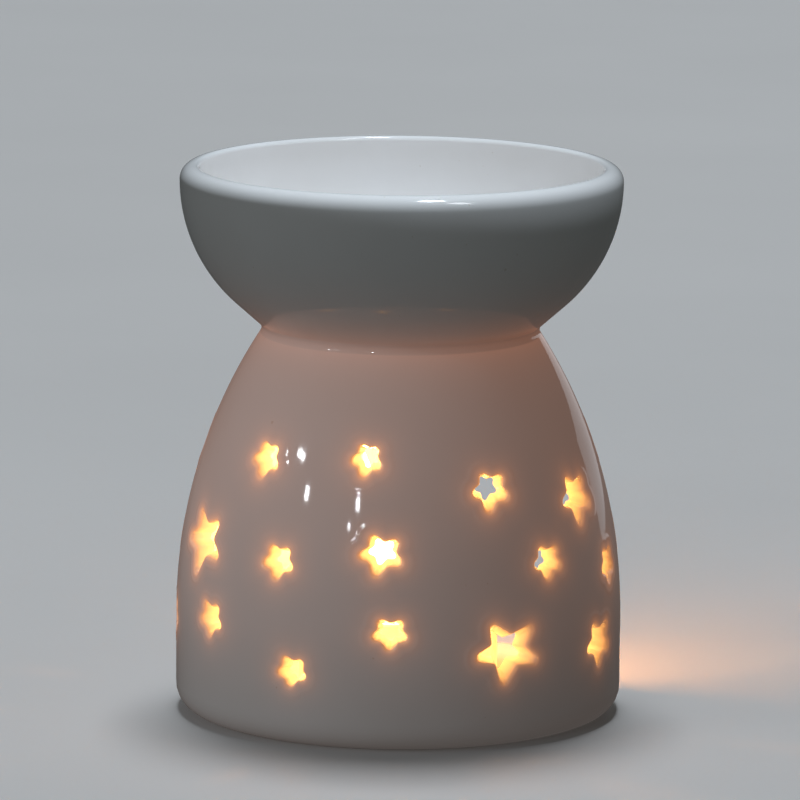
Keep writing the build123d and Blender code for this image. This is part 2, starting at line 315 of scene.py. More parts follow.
def star_opening(azimuth, height, point_radius, stretch, lean=0, drift=0):
    """A star that stands on one point, tapering inwards."""
    corners = []
    valley_radius = point_radius * (STAR_VALLEY - STAR_DEEPENING * point_radius)
    for step in range(10):
        reach = point_radius if step % 2 == 0 else valley_radius
        angle = radians(-90 + lean + 36 * step)
        corners.append((stretch * reach * cos(angle), reach * sin(angle)))
    outline = rounded_outline(corners, STAR_CORNER, 5, 3)
    return {"turn": radians(azimuth), "height": height, "outline": outline,
            "taper": (1 - STAR_TAPER) / WALL, "drift": drift / WALL}


def door_opening():
    """The arched doorway at the back, standing on the chamber floor."""
    half = DOOR_WIDTH / 2
    middle = DOOR_HEIGHT / 2
    spring = DOOR_HEIGHT - half - middle
    crown = arc((0.0, spring), half, 0, pi, CROWN_POINTS - 1)
    corners = [(-half, -middle), (half, -middle)] + crown
    sides = [SILL_POINTS, JAMB_POINTS] + [0] * (CROWN_POINTS - 1) + [JAMB_POINTS]
    outline = rounded_outline(corners, 0, 1, sides)
    return {"turn": pi, "height": FLOOR_HEIGHT + middle, "outline": outline, "taper": 0.0,
            "drift": 0.0}


def cut(skin, opening, outside):
    """Where an opening's edge runs on a skin, as (turn, run) pairs."""
    def at(distance):
        depth = outside - distance
        size = 1 - opening["taper"] * depth
        return along * size + opening["drift"] * depth, opening["height"] + up * size

    along, up = opening["outline"].T
    distance = np.full(len(along), float(skin.radius_at(opening["height"])))
    for _ in range(CUT_ROUNDS):
        aside, height = at(distance)
        distance = np.sqrt(skin.radius_at(height) ** 2 - aside**2)
    aside, height = at(distance)
    return np.stack([opening["turn"] + np.arctan2(aside, distance), skin.run_at(height)], axis=-1)


def gap_to_loop(points, loop):
    """Distance of each point to a closed loop of straight segments."""
    start, side = loop, np.roll(loop, -1, axis=0) - loop
    reach = points[..., None, :] - start
    share = np.clip((reach * side).sum(-1) / (side * side).sum(-1), 0, 1)
    return norm(reach - share[..., None] * side, axis=-1).min(-1)


def rings_around(skin, edge, centre, distances, reach):
    """Curves at fixed distances around an opening, with one point on each ray from its centre."""
    away = edge - centre
    loop = skin.points(*edge.T)
    length = norm(loop - skin.points(*centre), axis=-1)
    wanted = np.asarray(distances)[:, None]
    near = np.ones((len(distances), len(edge)))
    far = near + reach / length
    for _ in range(HALVINGS):
        middle = (near + far) / 2
        place = centre + middle[..., None] * away
        short = gap_to_loop(skin.points(place[..., 0], place[..., 1]), loop) < wanted
        near, far = np.where(short, middle, near), np.where(short, far, middle)
    return centre + ((near + far) / 2)[..., None] * away


def inside(points, loop):
    """Which plane points lie inside a closed plane loop."""
    x, y = points[:, 0, None], points[:, 1, None]
    x1, y1 = loop.T
    x2, y2 = np.roll(loop, -1, axis=0).T
    crosses = (y1 > y) != (y2 > y)
    with np.errstate(divide="ignore", invalid="ignore"):
        left = x < (x2 - x1) * (y - y1) / (y2 - y1) + x1
    return (crosses & left).sum(1) % 2 == 1


def triangulate(skin, places, low, high, loops, top_run):
    """Fills a skin between its low and high circles and around its loops."""
    places = [tuple(p) for p in places]
    fixed = skin.points(*np.array([places[i] for loop in loops for i in loop]).T)
    rows = max(2, round(top_run / (GRID * ROW_GAP)))
    for row in range(1, rows):
        run = top_run * row / rows
        radius = float(skin.profile(run)[0])
        count = round(2 * pi * radius / GRID)
        turns = (np.arange(count) + 0.5 * (row % 2)) * 2 * pi / count
        spots = skin.points(turns, np.full(count, run))
        gaps = np.array([norm(fixed - spot, axis=1).min() for spot in spots])
        blocked = gaps < GRID * CLEAR_GAP
        flat_spots = skin.flat(turns, np.full(count, run))
        for loop in loops:
            blocked |= inside(flat_spots, skin.flat(*np.array([places[i] for i in loop]).T))
        places.extend((t, run) for t in turns[~blocked])
    flat = skin.flat(*np.array(places).T)
    edges = sorted({tuple(sorted(edge)) for loop in [*loops, low, high]
                    for edge in zip(loop, loop[1:] + loop[:1])})
    spots = [Vector(p) for p in flat.tolist()]
    found, _, faces, origins, _, _ = delaunay_2d_cdt(spots, edges, [], 0, 1e-7)
    if len(found) != len(places):
        raise RuntimeError(f"the skin's mesh gained points: {len(found)} from {len(places)}")
    back = [o[0] for o in origins]
    faces = np.array([[back[i] for i in face] for face in faces])
    middles = flat[faces].mean(1)
    drop = np.isin(faces, low).all(1) & (norm(middles, axis=1) < 1)
    for loop in loops:
        drop |= inside(middles, flat[np.array(loop)])
    return np.array(places), faces[~drop]


OUTER = Skin(FOOT_RADIUS, 0.0, BASE_EDGE, SHOULDER_HEIGHT - BASE_EDGE, SHOULDER_RADIUS, 1)
INNER = Skin(BODY_RADIUS - WALL - FLOOR_CORNER, FLOOR_HEIGHT, FLOOR_CORNER,
             SHOULDER_HEIGHT - FLOOR_HEIGHT - FLOOR_CORNER, SHOULDER_RADIUS - WALL, -1)


def seam_fillet():
    """The glazed fillet in the crease: its centre, and where it meets the body and the dish."""
    flank = np.array([cos(DISH_SLOPE), sin(DISH_SLOPE)])
    aside = np.array([flank[1], -flank[0]])
    crease = np.array([NECK_RADIUS, NECK_HEIGHT])
    hub = np.array([SHOULDER_AXIS, SHOULDER_HEIGHT])
    start = crease + SEAM_FILLET * aside - hub
    # distance from the shoulder's centre must be both radii together
    b, c = start @ flank, start @ start - (SHOULDER_RADIUS + SEAM_FILLET) ** 2
    centre = hub + start + (-b + sqrt(b * b - c)) * flank
    on_body = hub + (centre - hub) * SHOULDER_RADIUS / (SHOULDER_RADIUS + SEAM_FILLET)
    return centre, on_body, centre - SEAM_FILLET * aside


def build_body(glaze, bare):
    """The pierced bell: both skins, the walls of every opening, the chamber floor and the foot."""
    openings = [star_opening(*star) for star in STARS] + [door_opening()]
    arc_angles = np.radians(np.arange(0, 91, 15))
    arc_gaps = EDGE_ROUND * (1 - np.cos(arc_angles))
    lip_gaps = np.linspace(0, LIP_REACH - EDGE_ROUND, 10)[1:]
    _, on_body, _ = seam_fillet()
    top_run = float(OUTER.run_at(on_body[1]))
    inner_top_run = float(INNER.run_at(NECK_HEIGHT - WALL))
    circle = np.arange(AROUND) * 2 * pi / AROUND

    # the outer skin: its two circles, then the outermost ring of each opening
    places, loops = [], []
    low, high = (add_points(places, [(t, run) for t in circle]) for run in (0.0, top_run))
    for opening in openings:
        outside = float(OUTER.radius_at(opening["height"]))
        opening["outer"] = cut(OUTER, opening, outside)
        opening["inner"] = cut(INNER, opening, outside)
        opening["edge"] = OUTER.points(*opening["outer"].T)
    for opening in openings:
        others = np.concatenate([other["edge"] for other in openings if other is not opening])
        room = min(gap_to_loop(others, opening["edge"]).min() * CROWDING, LIP_REACH)
        opening["squeeze"] = (room - EDGE_ROUND) / (LIP_REACH - EDGE_ROUND)
        opening["gaps"] = np.concatenate([arc_gaps[1:], EDGE_ROUND + lip_gaps * opening["squeeze"]])
        centre = np.array([opening["turn"], float(OUTER.run_at(opening["height"]))])
        opening["rings"] = rings_around(OUTER, opening["outer"], centre, opening["gaps"],
                                        RING_SEARCH)
        loops.append(add_points(places, map(tuple, opening["rings"][-1])))
    outer_places, outer_faces = triangulate(OUTER, places, low, high, loops, top_run)

    points = OUTER.points(*outer_places.T).tolist()
    exact = dict(enumerate(OUTER.normals(*outer_places.T)))
    faces = outer_faces.tolist()

    # the inner skin: the doorway's foot lies on its lowest circle
    door_edge = openings[-1]["inner"]
    door_span = np.abs(door_edge[door_edge[:, 1] < 1e-6][:, 0] - pi).max()
    off_door = np.abs(circle - pi) > door_span + pi / AROUND
    inner_places = []
    inner_low = add_points(inner_places, [(t, 0.0) for t in circle[off_door]])
    inner_high = add_points(inner_places, [(t, inner_top_run) for t in circle])
    inner_loops = [add_points(inner_places, map(tuple, opening["inner"])) for opening in openings]
    inner_low += [i for i in inner_loops[-1] if inner_places[i][1] < 1e-6]
    inner_low.sort(key=lambda i: inner_places[i][0] % (2 * pi))
    inner_places, inner_faces = triangulate(INNER, inner_places, inner_low, inner_high, inner_loops,
                                            inner_top_run)
    base = len(points)
    points.extend(INNER.points(*inner_places.T).tolist())
    exact.update(enumerate(INNER.normals(*inner_places.T), base))
    faces.extend((inner_faces + base).tolist())

    # round-over rings and walls of each opening, with each point's share of the painted wall glow
    glow_spans = [(0, base, 0.0)]
    for opening, outer_loop, inner_loop in zip(openings, loops, inner_loops):
        inner_edge = np.array(points)[[base + i for i in inner_loop]]
        outer_edge = opening["edge"]
        inwards = inner_edge - outer_edge
        length = norm(inwards, axis=1, keepdims=True)
        inwards = inwards / length
        previous = outer_loop
        curves, weights = [], []
        for ring, gap in zip(opening["rings"][-2::-1], opening["gaps"][-2::-1]):
            spot, normal = OUTER.points(*ring.T), OUTER.normals(*ring.T)
            along_lip = EDGE_ROUND + (gap - EDGE_ROUND) / opening["squeeze"]
            bead = LIP_HEIGHT * exp(-(((along_lip - LIP_FROM_EDGE) / LIP_WIDTH) ** 2))
            share = min(1.0, gap / EDGE_ROUND)
            sink = EDGE_ROUND - sqrt(max(0.0, EDGE_ROUND**2 - (EDGE_ROUND * (1 - share)) ** 2))
            heading = (1 - share) * inwards - share * normal
            heading /= norm(heading, axis=1, keepdims=True)
            curves.append(spot + sink * heading + bead * normal)
            weights.append(EDGE_LIT * (1 - share))
        for share, weight in WALL_RINGS:
            depth = EDGE_ROUND + (length - EDGE_ROUND) * share
            curves.append(outer_edge + inwards * depth)
            weights.append(weight)
        for curve, weight in zip(curves, weights):
            here = add_points(points, curve.tolist())
            glow_spans.append((here[0], here[-1] + 1, weight))
            faces += band(previous, here)
            previous = here
        last = [base + i for i in inner_loop]
        glow_spans.append((last[0], last[-1] + 1, 1.0))
        faces += band(previous, last)

    def disc(rim, profile, centre_height):
        """Rings inwards from a rim of vertices, closed by a fan."""
        directions = np.array([points[i][:2] for i in rim])
        directions /= norm(directions, axis=1, keepdims=True)
        previous, made = rim, []
        for radius, height in profile:
            here = add_points(points, [(x * radius, y * radius, height) for x, y in directions])
            made += band(previous, here)
            previous = here
        points.append((0.0, 0.0, centre_height))
        middle = len(points) - 1
        made += [[previous[i], previous[(i + 1) % len(rim)], middle] for i in range(len(rim))]
        return made

    faces += disc([base + i for i in inner_low], [(r, FLOOR_HEIGHT) for r in FLOOR_RINGS], FLOOR_HEIGHT)
    bare_from = len(faces)
    faces += disc(low, FOOT_PROFILE, FOOT_RECESS)
    faces += band(high, [base + i for i in inner_high])

    points = np.array(points)
    thing = make_object("lantern_shell", points, faces, glaze)
    mesh = thing.data
    mesh.materials.append(bare)
    for i in range(bare_from, bare_from + BARE_RINGS * AROUND):
        mesh.polygons[i].material_index = 1
    edges = np.concatenate([opening["edge"] for opening in openings]
                           + [points[[base + i for i in loop]] for loop in inner_loops])
    gap = np.concatenate([norm(chunk[:, None] - edges, axis=-1).min(1)
                          for chunk in np.array_split(points, 200)])
    walls = np.zeros(len(points), np.float32)
    for start, end, weight in glow_spans:
        walls[start:end] = weight
    mesh.attributes.new("edge_gap", "FLOAT", "POINT").data.foreach_set("value", gap.astype(np.float32))
    mesh.attributes.new("wall_glow_share", "FLOAT", "POINT").data.foreach_set("value", walls)
    face_outwards(mesh)
    mesh.set_sharp_from_angle(angle=radians(CREASE_ANGLE))
    use_exact_normals(mesh, exact)
    return thing


def face_outwards(mesh):
    """Turns every face of a closed mesh to look out of its solid."""
    work = bmesh.new()
    work.from_mesh(mesh)
    bmesh.ops.recalc_face_normals(work, faces=work.faces)
    work.to_mesh(mesh)
    work.free()
    mesh.update()


def use_exact_normals(mesh, exact):
    """Shading normals of the true surface at points that lie on it."""
    corners = np.zeros(len(mesh.loops) * 3, np.float32)
    mesh.corner_normals.foreach_get("vector", corners)
    corners = corners.reshape(-1, 3)
    vertices = np.zeros(len(mesh.loops), np.int32)
    mesh.loops.foreach_get("vertex_index", vertices)
    wanted = np.zeros((len(mesh.vertices), 3))
    for i, normal in exact.items():
        wanted[i] = normal
    aim = wanted[vertices]
    close = (aim * corners).sum(1) > cos(radians(NEAR_ANGLE))
    corners[close] = aim[close]
    mesh.normals_split_custom_set(corners.tolist())


def seam_profile(heel_hub):
    """The slip ring between body and dish: a fillet outside, a squeezed bead inside the neck."""
    centre, on_body, on_dish = seam_fillet()
    start = atan2(on_body[1] - centre[1], on_body[0] - centre[0])
    end = atan2(on_dish[1] - centre[1], on_dish[0] - centre[0]) - 2 * pi
    outline = arc(centre, SEAM_FILLET, start, end, 18)
    inner_top = INNER.profile(INNER.run_at(NECK_HEIGHT - WALL))
    squeezed = float(inner_top[0]) - SEAM_SQUEEZE
    low_angle = -acos((squeezed - heel_hub[0]) / DISH_HEEL)
    outline += arc(heel_hub, DISH_HEEL, DISH_SLOPE - pi / 2, low_angle, 8)
    outline += [(squeezed + 0.9, outline[-1][1] - 0.35), (float(inner_top[0]), float(inner_top[1]))]
    return outline


def dish_profile():
    """The dish's closed outline, from the middle of its underside round the lip to its floor."""
    slope = DISH_SLOPE
    heel_hub = (NECK_RADIUS - DISH_HEEL * sin(slope), DISH_BOTTOM + DISH_HEEL)
    run, rise = DISH_RADIUS - NECK_RADIUS, DISH_TOP - RIM_OUTER - NECK_HEIGHT
    tangent = tan(slope)
    curve = (rise - run * tangent) / (cos(slope) - (1 - sin(slope)) * tangent)
    curve_hub = (DISH_RADIUS - curve, DISH_TOP - RIM_OUTER)
    outline = [(0.0, DISH_BOTTOM)] + arc(heel_hub, DISH_HEEL, -pi / 2, slope - pi / 2, 16)
    outline += arc(curve_hub, curve, slope - pi / 2, 0, 44)
    outline += arc((DISH_RADIUS - RIM_OUTER, DISH_TOP - RIM_OUTER), RIM_OUTER, 0, pi / 2, 14)
    outline += arc((DISH_RADIUS - RIM_OUTER, DISH_TOP - RIM_INNER), RIM_INNER, pi / 2, pi, 10)
    outline += arc(curve_hub, curve - DISH_WALL, 0, slope - pi / 2, 40)
    floor_height = DISH_BOTTOM + DISH_FLOOR
    top_radius, top_height = outline[-1]
    heel_height = floor_height + DISH_INSIDE_HEEL * (1 - cos(slope))
    heel_radius = top_radius - (top_height - heel_height) / tangent
    hub = (heel_radius - DISH_INSIDE_HEEL * sin(slope), floor_height + DISH_INSIDE_HEEL)
    outline += arc(hub, DISH_INSIDE_HEEL, slope - pi / 2, -pi / 2, 24) + [(0.0, floor_height)]
    return outline, heel_hub


# ---- Tealight ----
CUP_RADIUS = 19.0
CUP_WALL = 0.3
CUP_CORNER = 1.2
CUP_RING = 9.0  # a mesh ring on its flat bottom
CUP_BEAD = 0.45
FLUTES = 56
FLUTE_DEPTH = 0.11
WICK_RADIUS = 0.8
POOL_RADIUS = 16.8
POOL_DEPTH = 0.7
POOL_SHORE = 1.9  # width over which the wax slopes down to the pool
SHORE_WAVES = [(0.22, 3, 0.6), (0.14, 7, 2.0), (0.08, 13, 0.0)]  # its uneven line: depth, count, phase
CREEP_HEIGHT = 0.55  # the liquid's climb up the wick, and how far out it has died away
CREEP_REACH = 0.7
COLLAR_RADIUS = 1.1
TAB_RADIUS = tab_hi.x / MM
TAB_TOP = tab_lo.z / MM + 0.3
COLLAR_TOP = tab_hi.z / MM
WAX_TOP = wax_hi.z / MM
WAX_BOTTOM = wax_lo.z / MM
WAX_RADIUS = wax_hi.x / MM
POOL_LEVEL = WAX_TOP - POOL_DEPTH
CUP_TOP = cup_hi.z / MM
CUP_BOTTOM = cup_lo.z / MM
WICK_TIP = wick_hi.z / MM
WICK_BOTTOM = wick_lo.z / MM
WICK_TWIST = 42  # braid's turns along the wick, in radians
WICK_BURNT_FROM = 0.72  # share of its length where the char begins to thin
WICK_BEND = 1.8
WICK_BEND_FROM = POOL_LEVEL + 2.4
WICK_AZIMUTH = radians(-60)
LEAN = np.array([sin(WICK_AZIMUTH), -cos(WICK_AZIMUTH), 0.0])
UP = np.array([0.0, 0.0, 1.0])
FLAME_HEIGHT = 28.0
FLAME_RADIUS = 3.4
FLAME_ROOT = 2.6  # how far the flame starts below the wick's tip
FLAME_LEAN = 5.2
FLAME_HEART = 0.4
FLAME_BRIGHTNESS = 14.0
CANDLE_POWER = 0.22
CANDLE_COLOUR = (1.0, 0.37, 0.078)
SPILL_POWER = 0.04


def build_cup(foil):
    """A pressed foil cup: fluted side, rounded foot, rim rolled outwards."""
    bead = (CUP_RADIUS - CUP_WALL + CUP_BEAD, CUP_TOP - CUP_BEAD)
    corner = (CUP_RADIUS - CUP_CORNER, CUP_BOTTOM + CUP_CORNER)
    outline = [(0.0, CUP_BOTTOM), (CUP_RING, CUP_BOTTOM)]
    outline += arc(corner, CUP_CORNER, -pi / 2, 0, 7)
    heights = np.linspace(corner[1], bead[1], 22)
    outline += [(CUP_RADIUS, h) for h in heights[1:-1]]
    roll_start = -acos((CUP_RADIUS - bead[0]) / CUP_BEAD)
    outline += arc(bead, CUP_BEAD, roll_start, pi, 18)
    outline += [(CUP_RADIUS - CUP_WALL, h) for h in heights[-2::-1]]
    outline += arc(corner, CUP_CORNER - CUP_WALL, 0, -pi / 2, 6)
    outline += [(CUP_RING, CUP_BOTTOM + CUP_WALL), (0.0, CUP_BOTTOM + CUP_WALL)]
    low, high = corner[1] - CUP_CORNER / 2, bead[1] - CUP_CORNER

    def flute(radius, turns, height):
        share = np.clip((height - low) / (high - low), 0, 1)
        fade = np.sin(pi * share) ** 0.5 * (radius > corner[0])
        wave = 0.5 - 0.5 * np.cos(FLUTES * turns)
        return radius - FLUTE_DEPTH * fade * wave**2

    return lathe("foil_cup", outline, foil, steps=FLUTES * 8, shape=flute)


def build_wax(paraffin):
    """Cast wax with a melted pool: a soft rim, liquid that creeps up the rim and the wick."""
    outline = [(TAB_RADIUS, WAX_BOTTOM), (WAX_RADIUS - CUP_CORNER, WAX_BOTTOM)]
    outline += arc((WAX_RADIUS - CUP_CORNER, WAX_BOTTOM + CUP_CORNER), CUP_CORNER, -pi / 2, 0, 6)
    outline += [(WAX_RADIUS, h) for h in np.linspace(WAX_BOTTOM + CUP_CORNER + 1, WAX_TOP - 1, 8)]
    outline += arc((WAX_RADIUS - 0.5, WAX_TOP - 0.5), 0.5, 0, pi / 2, 5)
    for share in np.linspace(0, 1, 15):
        melted = 0.5 - 0.5 * cos(pi * share)
        outline.append((POOL_RADIUS + 0.6 - POOL_SHORE * share, WAX_TOP - POOL_DEPTH * melted))
    for radius in np.linspace(POOL_RADIUS - 1.8, WICK_RADIUS, 36):
        creep = CREEP_HEIGHT * exp((WICK_RADIUS - radius) / CREEP_REACH)
        outline.append((radius, POOL_LEVEL + creep))
    outline += [(WICK_RADIUS, COLLAR_TOP), (COLLAR_RADIUS, COLLAR_TOP)]
    outline += [(COLLAR_RADIUS, TAB_TOP), (TAB_RADIUS, TAB_TOP)]

    def melt(radius, turns, height):
        near_pool = np.exp(-(((radius - POOL_RADIUS) / 1.2) ** 2)) * (height > WAX_TOP - 1.2)
        drift = sum(depth * np.sin(waves * turns + phase) for depth, waves, phase in SHORE_WAVES)
        return radius + drift * near_pool

    return lathe("wax_cast", outline, paraffin, steps=160, shape=melt)


def wick_path(share):
    """The wick's centre line: upright, then leaning over above the pool."""
    height = WICK_BOTTOM + (WICK_TIP - WICK_BOTTOM) * share
    above = max(0.0, height - WICK_BEND_FROM) / (WICK_TIP - WICK_BEND_FROM)
    return WICK_BEND * above**1.8 * LEAN + (height - 0.5 * above) * UP


def build_wick(cotton):
    """A braided cord whose burnt end thins and frays."""
    along, about = 110, 24
    points, faces = [], []
    across = np.cross(UP, LEAN)
    for i in range(along + 1):
        share = i / along
        centre = wick_path(share)
        ahead = wick_path(min(1, share + 0.01)) - wick_path(max(0, share - 0.01))
        ahead /= norm(ahead)
        side = np.cross(across, ahead)
        burnt = max(0.0, (share - WICK_BURNT_FROM) / (1 - WICK_BURNT_FROM))
        for j in range(about):
            angle = 2 * pi * j / about
            twist = WICK_TWIST * share
            braid = abs(sin(1.5 * angle + twist)) + abs(sin(1.5 * angle - twist))
            girth = (WICK_RADIUS - 0.2) + 0.1 * braid
            ragged = 0.08 * sin(5 * angle + 60 * share) + 0.06 * sin(9 * angle - 37 * share)
            girth *= 1 - 0.28 * burnt + ragged * burnt
            if share == 1:
                girth *= 0.45
            points.append(centre + girth * (cos(angle) * side + sin(angle) * across))
    rings = [range(i * about, (i + 1) * about) for i in range(along + 1)]
    for ring, following in zip(rings, rings[1:]):
        faces += band(ring, following)
    for ring, share, height in ((rings[0], 0.0, 0.0), (rings[-1], 1.0, 0.12)):
        faces += [[ring[j], ring[(j + 1) % about], len(points)] for j in range(about)]
        points.append(wick_path(share) + height * UP)
    thing = make_object("braided_wick", points, faces, cotton)
    face_outwards(thing.data)
    return thing


def flame_path(share):
    """The flame's middle line, from below the wick's tip to its point, drawn over by the draught."""
    tip = wick_path(1.0)
    return tip + FLAME_LEAN * share**1.3 * LEAN + (FLAME_HEIGHT * share - FLAME_ROOT) * UP


def build_flame(fire):
    """A teardrop flame over the wick's tip. It isn't part of the object."""
    outline = [(0.0, 0.0)]
    for share in np.linspace(0.02, 0.98, 40):
        belly = sin(pi * share**0.62) ** 0.9 * (1 - 0.35 * share)
        outline.append((FLAME_RADIUS * belly, share))
    outline.append((0.0, 1.0))
    flame = lathe("flame", outline, fire, steps=48)
    for vertex in flame.data.vertices:
        x, y, share = vertex.co / MM
        vertex.co = (Vector(flame_path(min(1.0, max(0.0, share)))) + Vector((x, y, 0))) * MM
    flame.visible_shadow = False
    return flame


# ---- Painted candle glow in the glaze: emission standing in for light through it, as linear colours ----
GLOW_DISTANCE = 0.038  # from the flame to the wall, in metres, where the colours below hold
SOAKED_LIGHT = (0.105, 0.046, 0.028)
# share of the painted glow by direction from the flame, from straight down at 0 to straight up at 1: it
# paints the cup rim's shadow on the lowest part of the wall, and more glow towards the neck, where the
# wall thins
SOAKING = [(0.2, 0.5), (0.36, 0.95), (0.5, 1), (0.9, 1.7)]
# beside a cut edge, painted glow: how far it reaches in millimetres, and its colour at the edge
EDGE_GLOWS = [(0.45, (0.34, 0.11, 0.01)), (1.6, (0.23, 0.065, 0.008)), (4.0, (0.020, 0.005, 0.002))]
WALL_GLOW = (0.70, 0.34, 0.07)
NECK_GLOW_REACH = 4.5
NECK_GLOW = (0.17, 0.048, 0.014)


# ---- Materials ----

def settle(node, **settings):
    """Sets a node's properties and, for names that are sockets, their values."""
    for key, value in settings.items():
        if hasattr(node, key):
            setattr(node, key, value)
        else:
            node.inputs[key.replace("_", " ")].default_value = value
    return node


class Look:
    """A material and short ways to build its nodes. A source is a socket, a number or a colour."""

    def __init__(self, name):
        self.material = bpy.data.materials.new(name)
        self.material.use_nodes = True
        self.tree = self.material.node_tree
        self.shader = self.tree.nodes["Principled BSDF"]

    def node(self, kind, **settings):
        return settle(self.tree.nodes.new("ShaderNode" + kind), **settings)

    def join(self, source, target):
        if isinstance(source, bpy.types.NodeSocket):
            self.tree.links.new(source, target)
        else:
            target.default_value = source

    def wear(self, name, source):
        """Feeds an input of the material's shader."""
        self.join(source, self.shader.inputs[name])

    def axes(self, output="Object"):
        """The X, Y and Z sockets of a point's place."""
        parts = self.node("SeparateXYZ")
        self.join(self.node("TexCoord").outputs[output], parts.inputs[0])
        return parts.outputs

    def noise(self, scale, detail=2.0, roughness=0.5):
        """Noise over the object's own place, in cells per metre."""
        node = self.node("TexNoise", Scale=scale, Detail=detail, Roughness=roughness)
        self.join(self.node("TexCoord").outputs["Object"], node.inputs["Vector"])
        return node.outputs["Fac"]

    def ramp(self, source, stops):
        """A colour ramp through (position, colour) stops. A plain number is a grey."""
        node = self.node("ValToRGB")
        elements = node.color_ramp.elements
        while len(elements) < len(stops):
            elements.new(0.5)
        for element, (position, colour) in zip(elements, stops):
            colour = colour if isinstance(colour, tuple) else (colour,) * 3
            element.position, element.color = position, (*colour, 1)
        self.join(source, node.inputs["Fac"])
        return node.outputs["Color"]

    def mottle(self, name, stops, *grain):
        """Feeds an input of the shader from a ramp over noise. The grain is the noise's arguments."""
        self.wear(name, self.ramp(self.noise(*grain), stops))

    def bump(self, source, distance, strength, base=None):
        node = self.node("Bump", Strength=strength, Distance=distance)
        self.join(source, node.inputs["Height"])
        if base:
            self.join(base, node.inputs["Normal"])
        self.wear("Normal", node.outputs["Normal"])
        return node.outputs["Normal"]

    def math(self, operation, *sources):
        node = self.node("Math", operation=operation)
        for source, socket in zip(sources, node.inputs):
            self.join(source, socket)
        return node.outputs[0]

    def vector(self, operation, first, second=None):
        node = self.node("VectorMath", operation=operation)
        self.join(first, node.inputs[0])
        if second is not None:
            self.join(second, node.inputs["Scale" if operation == "SCALE" else 1])
        return node.outputs["Value" if operation in ("LENGTH", "DOT_PRODUCT") else "Vector"]

    def share(self, source, low, high):
        """0 to 1 as the source goes from low to high."""
        node = self.node("MapRange", From_Min=low, From_Max=high)
        self.join(source, node.inputs["Value"])
        return node.outputs[0]

    def from_the_flame(self, candle):
        """How a point lies to the flame: facing away from it, direction's rise, nearness.
        Nearness is 1 at GLOW_DISTANCE and falls with the square, so the painted glow leaves with the
        candle."""
        spot = self.node("TexCoord", object=candle).outputs["Object"]
        course = self.vector("NORMALIZE", spot)
        facing = self.vector("DOT_PRODUCT", self.node("NewGeometry").outputs["Normal"], course)
        rise = self.node("SeparateXYZ")
        self.join(course, rise.inputs[0])
        ratio = self.math("DIVIDE", GLOW_DISTANCE, self.vector("LENGTH", spot))
        away = self.math("MAXIMUM", facing, 0.0)
        return away, rise.outputs["Z"], self.math("MULTIPLY", ratio, ratio)


def glaze_material(name, candle, pierced):
    """White earthenware under clear gloss, with the candle's light through it painted on as emission. A
    pierced wall gets painted glow behind the flame and at its cut edges, the rest only near the neck."""
    look = Look(name)
    # a colour mix has its factor and two colours in sockets 0, 6 and 7, and its result in 2
    mix = look.node("Mix", data_type="RGBA")
    look.join(look.ramp(look.noise(900, 1), [(0.79, 0), (0.82, 1)]), mix.inputs[0])
    cloud = [(0.35, (0.78, 0.775, 0.755)), (0.7, (0.81, 0.81, 0.795))]
    look.join(look.ramp(look.noise(38, 3), cloud), mix.inputs[6])
    look.join((0.70, 0.67, 0.62, 1), mix.inputs[7])
    look.wear("Base Color", mix.outputs[2])
    look.mottle("Roughness", [(0.3, 0.03), (0.75, 0.08)], 60, 4)
    ripple = look.bump(look.noise(70, 1), 0.00012, 0.55)
    look.bump(look.noise(420, 2), 0.00001, 0.5, ripple)
    settle(look.shader, IOR=1.52, Emission_Strength=1.0)

    # painted candle glow as emission: it fades with distance from the flame, paints the cup rim's shadow
    # low on the wall, and glows at the neck
    away, rise, near = look.from_the_flame(candle)
    reached = look.ramp(look.math("MULTIPLY_ADD", rise, 0.5, 0.5), SOAKING)
    soaked = look.math("MULTIPLY", look.math("MULTIPLY", away, near), reached)
    above = look.math("SUBTRACT", look.axes()["Z"], NECK_HEIGHT * MM)
    neck = look.math("DIVIDE", look.math("ABSOLUTE", above), -NECK_GLOW_REACH * MM)
    neck = look.math("MULTIPLY", look.math("EXPONENT", neck), near)
    if not pierced:
        soaked = look.math("MULTIPLY", soaked, neck)
    glows = [(SOAKED_LIGHT, soaked), (NECK_GLOW, neck)]
    if pierced:
        gap = look.node("Attribute", attribute_name="edge_gap").outputs["Fac"]
        for reach, colour in EDGE_GLOWS:
            fade = look.math("EXPONENT", look.math("DIVIDE", gap, -reach))
            glows.append((colour, look.math("MULTIPLY", fade, near)))
        wall = look.node("Attribute", attribute_name="wall_glow_share").outputs["Fac"]
        glows.append((WALL_GLOW, look.math("MULTIPLY", wall, near)))
    total = (0.0, 0.0, 0.0)
    for colour, strength in glows:
        total = look.vector("ADD", total, look.vector("SCALE", colour, strength))
    look.wear("Emission Color", total)
    look.material.cycles.emission_sampling = "NONE"
    return look.material


def bare_material():
    """The unglazed foot: fine, dry, slightly sandy clay."""
    look = Look("bare_clay")
    look.mottle("Base Color", [(0.3, (0.60, 0.54, 0.46)), (0.7, (0.80, 0.75, 0.68))], 500, 6, 0.7)
    look.bump(look.noise(2200, 4, 0.7), 0.00008, 0.6)
    settle(look.shader, Roughness=0.9)
    return look.material


def foil_material():
    """Thin pressed aluminium, its sheen a little uneven from handling."""
    look = Look("foil")
    look.mottle("Base Color", [(0.3, (0.78, 0.78, 0.79)), (0.7, (0.87, 0.87, 0.88))], 260, 5)
    look.mottle("Roughness", [(0.3, 0.34), (0.7, 0.44)], 140, 6, 0.65)
    look.bump(look.noise(260, 2), 0.00003, 0.3)
    settle(look.shader, Metallic=0.3)
    return look.material


